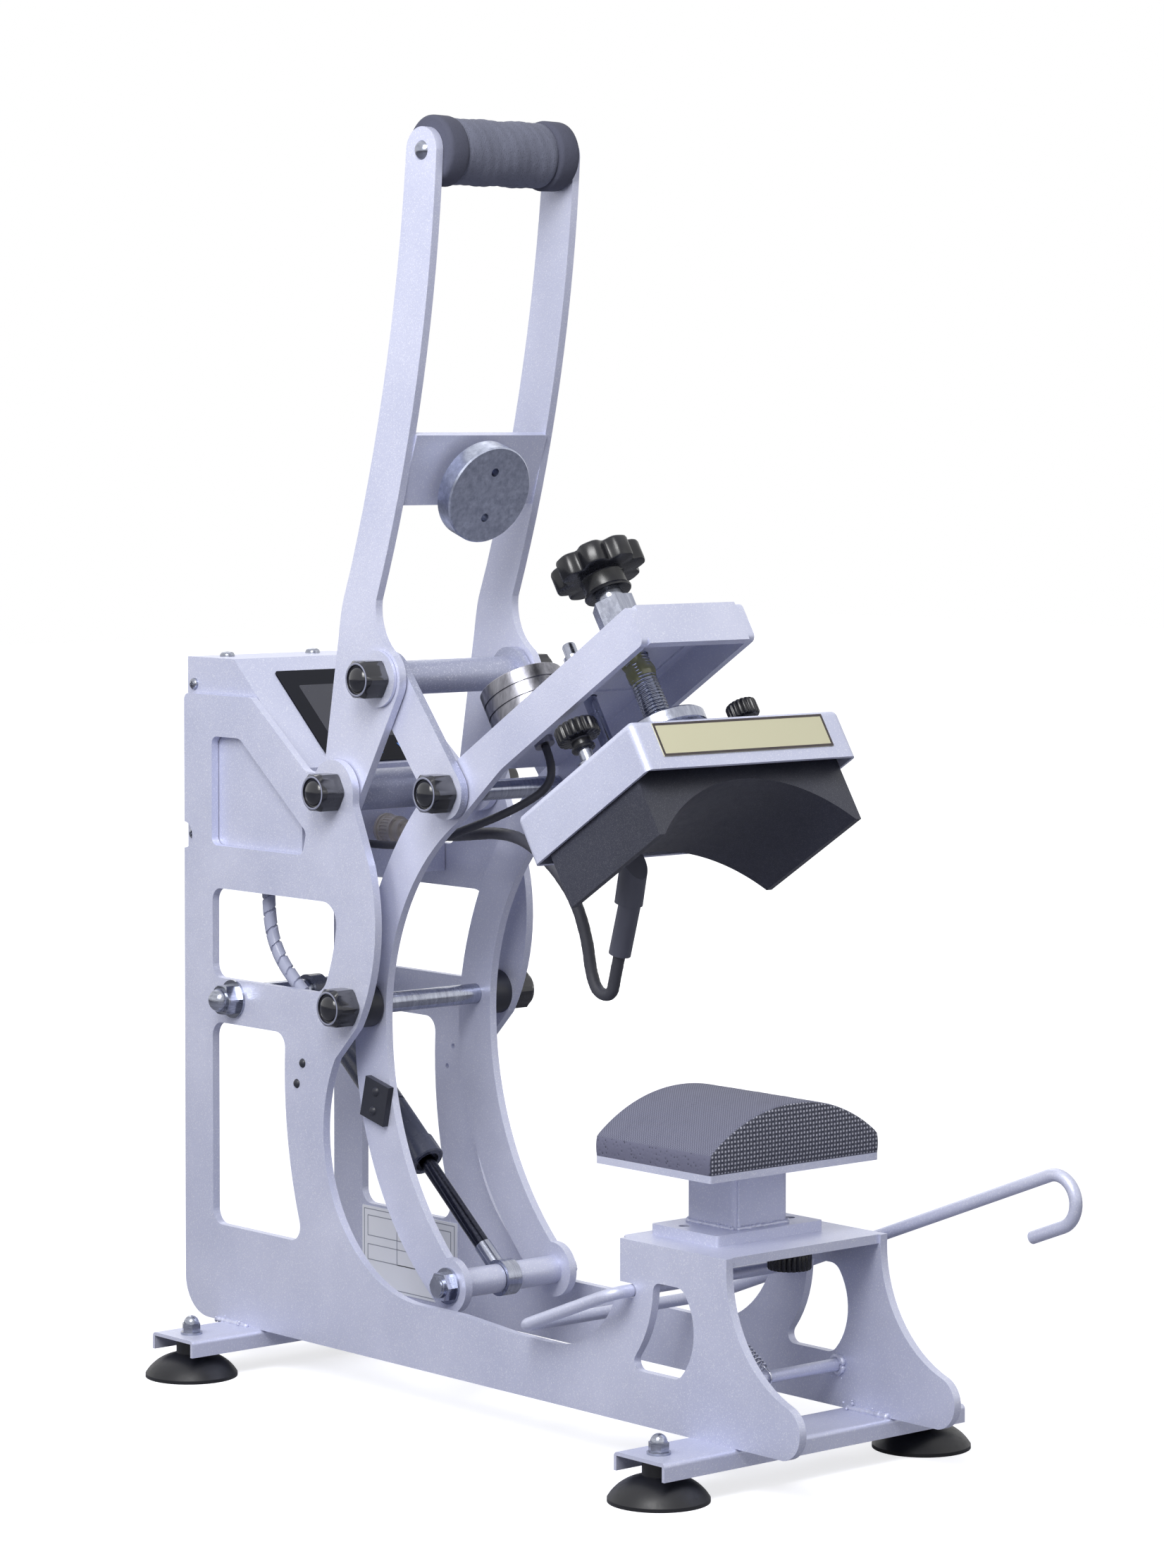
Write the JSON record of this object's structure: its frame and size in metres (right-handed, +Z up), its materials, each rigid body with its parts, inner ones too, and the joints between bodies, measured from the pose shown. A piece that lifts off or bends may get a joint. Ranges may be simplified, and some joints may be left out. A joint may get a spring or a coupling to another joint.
{
  "type": "cap heat press",
  "caption": "Auto-open cap heat press: curved swing arm with arched heating head over a domed foam pad, tall fork handle with foam grip, gas spring, magnet catch and control box.",
  "frame": {"origin": "middle of the press's footprint, on the floor under the rubber feet", "axes": "+Z up; -Y to the front, where the lower pad and the operator are; +X to the press's right as seen from the operator's side"},
  "size_m": [0.2509, 0.627, 0.7445],
  "materials": {
    "silver_powder_coat": "fine textured silver-grey powder coat",
    "silver_powder_coat_head": "fine textured silver-grey powder coat",
    "zinc_steel": "bright zinc plate",
    "nickel_plate": "satin nickel plate",
    "turned_aluminium": "turned, lightly stained",
    "black_cap_plastic": "glossy black moulding",
    "black_matte_plastic": "matte black moulding",
    "foot_rubber": "smooth black rubber",
    "pad_foam": "dark grey silicone foam",
    "grip_foam": "dark grey foam rubber",
    "block_coating": "dark grey non-stick coating",
    "display_glass": "glossy black screen",
    "label_stock": "plain pale yellow with a dark border",
    "plate_stock": "plain white plate",
    "board_green": "circuit board",
    "black_cable": "matte black sleeve",
    "grey_sleeve": "grey heat-shrink sleeve",
    "loom_wrap": "grey spiral wrap",
    "spring_steel": "bright wire",
    "black_rod": "black nitrided rod",
    "black_barrel": "black enamel"
  },
  "bodies": {
    "frame": {"side_plate_right": "silver_powder_coat", "side_plate_left": "silver_powder_coat", "base_cross_members": "silver_powder_coat", "rubber_feet": "foot_rubber", "foot_nuts": "nickel_plate", "table_plate": "silver_powder_coat", "pivot_shafts": "zinc_steel", "pivot_cap_nuts": "black_cap_plastic", "shaft_bushings": "black_matte_plastic", "gas_anchor": "nickel_plate", "latch_spring": "spring_steel", "box_connector": "nickel_plate", "power_inlet": "black_matte_plastic", "box_screws": "zinc_steel", "box_rear_cover": "silver_powder_coat", "box_shell": "silver_powder_coat", "display_panel": "display_glass", "controller_board": "board_green", "reed_sensor": "black_matte_plastic", "sensor_loom": "loom_wrap", "blank_plate": "plate_stock", "platen_base": "silver_powder_coat", "platen_plate": "silver_powder_coat", "platen_pad": "pad_foam"},
    "clamp_screw_left": {"clamp_knob_left": "black_matte_plastic"},
    "clamp_screw_right": {"clamp_knob_right": "black_matte_plastic"},
    "lever": {"clamp_lever": "silver_powder_coat"},
    "gas_barrel": {"gas_cylinder": "black_barrel"},
    "gas_ram": {"gas_rod": "black_rod", "gas_rod_end": "zinc_steel"},
    "arm": {"arm_plates": "silver_powder_coat", "arm_cover": "silver_powder_coat", "arm_bushes": "zinc_steel", "electromagnet": "nickel_plate", "link_pivot_bolt": "zinc_steel", "link_cap_nuts": "black_cap_plastic", "arm_spacer_tubes": "silver_powder_coat", "arm_end_bolt": "zinc_steel", "sensor_magnet": "black_matte_plastic", "magnet_cable": "black_cable"},
    "head": {"head_housing": "silver_powder_coat_head", "head_top_plate": "silver_powder_coat_head", "heating_block": "block_coating", "label_plate": "label_stock", "head_pins": "zinc_steel", "strain_relief": "grey_sleeve", "head_cable": "black_cable"},
    "pressure_control": {"pressure_screw": "zinc_steel", "pressure_knob": "black_cap_plastic"},
    "thumb_screw_left": {"thumb_knob_left": "black_matte_plastic"},
    "thumb_screw_right": {"thumb_knob_right": "black_matte_plastic"},
    "handle": {"handle_plates": "silver_powder_coat", "handle_tube": "silver_powder_coat", "catch_disc": "turned_aluminium", "cross_plate": "silver_powder_coat", "grip_bar": "zinc_steel", "grip_foam": "grip_foam"},
    "link": {"link_frame": "silver_powder_coat", "link_top_bolt": "zinc_steel", "link_top_nuts": "black_cap_plastic"}
  },
  "joints": [
    {"name": "handle_pivot", "type": "hinge", "parent": "frame", "child": "handle", "pos_m": [0, 0.1605, 0.353], "axis": [1, 0, 0], "range_deg": [0, 70]},
    {"name": "arm_pivot", "type": "hinge", "parent": "frame", "child": "arm", "pos_m": [0, 0.1465, 0.228], "axis": [1, 0, 0], "range_deg": [0, 32.01], "stiffness_Nm_per_rad": 12, "springref_deg": -108.86},
    {"name": "link_pivot", "type": "hinge", "parent": "arm", "child": "link", "pos_m": [0, 0.0715, 0.357], "axis": [1, 0, 0], "range_deg": [-50.7, 0]},
    {"name": "gas_barrel_pivot", "type": "hinge", "parent": "frame", "child": "gas_barrel", "pos_m": [0, 0.2575, 0.222], "axis": [1, 0, 0], "range_deg": [0, 22.14]},
    {"name": "gas_ram_slide", "type": "slide", "parent": "gas_barrel", "child": "gas_ram", "axis": [0, -0.7717, -0.636], "range_m": [-0.04954, 0]},
    {"name": "head_lift", "type": "slide", "parent": "arm", "child": "head", "axis": [0, -0.5299, -0.848], "range_m": [0, 0.004]},
    {"name": "pressure_turn", "type": "hinge", "parent": "head", "child": "pressure_control", "pos_m": [0, -0.07399, 0.37993], "axis": [0, -0.5299, -0.848], "range_deg": [0, 720.1]},
    {"name": "lever_pivot", "type": "hinge", "parent": "frame", "child": "lever", "pos_m": [0, -0.1035, 0.0975], "axis": [1, 0, 0], "range_deg": [0, 20], "stiffness_Nm_per_rad": 0.6, "springref_deg": -40.11, "deforming": ["latch_spring"]},
    {"name": "thumb_turn_left", "type": "hinge", "parent": "head", "child": "thumb_screw_left", "pos_m": [-0.04, -0.04452, 0.38274], "axis": [0, 0.5299, 0.848], "continuous": true},
    {"name": "thumb_turn_right", "type": "hinge", "parent": "head", "child": "thumb_screw_right", "pos_m": [0.04, -0.08438, 0.40765], "axis": [0, 0.5299, 0.848], "continuous": true},
    {"name": "clamp_turn_left", "type": "hinge", "parent": "frame", "child": "clamp_screw_left", "pos_m": [-0.031, -0.1145, 0.1197], "axis": [0, 0, 1], "continuous": true},
    {"name": "clamp_turn_right", "type": "hinge", "parent": "frame", "child": "clamp_screw_right", "pos_m": [0.031, -0.1325, 0.1197], "axis": [0, 0, 1], "continuous": true}
  ],
  "couplings": [
    {"joint": "arm_pivot", "follows": "handle_pivot", "ratio": 0.45714},
    {"joint": "link_pivot", "follows": "handle_pivot", "ratio": -0.7241},
    {"joint": "gas_barrel_pivot", "follows": "handle_pivot", "ratio": 0.31613},
    {"joint": "gas_ram_slide", "follows": "handle_pivot", "m_per_rad": -0.040551},
    {"joint": "pressure_turn", "follows": "head_lift", "rad_per_m": 3141.6}
  ]
}
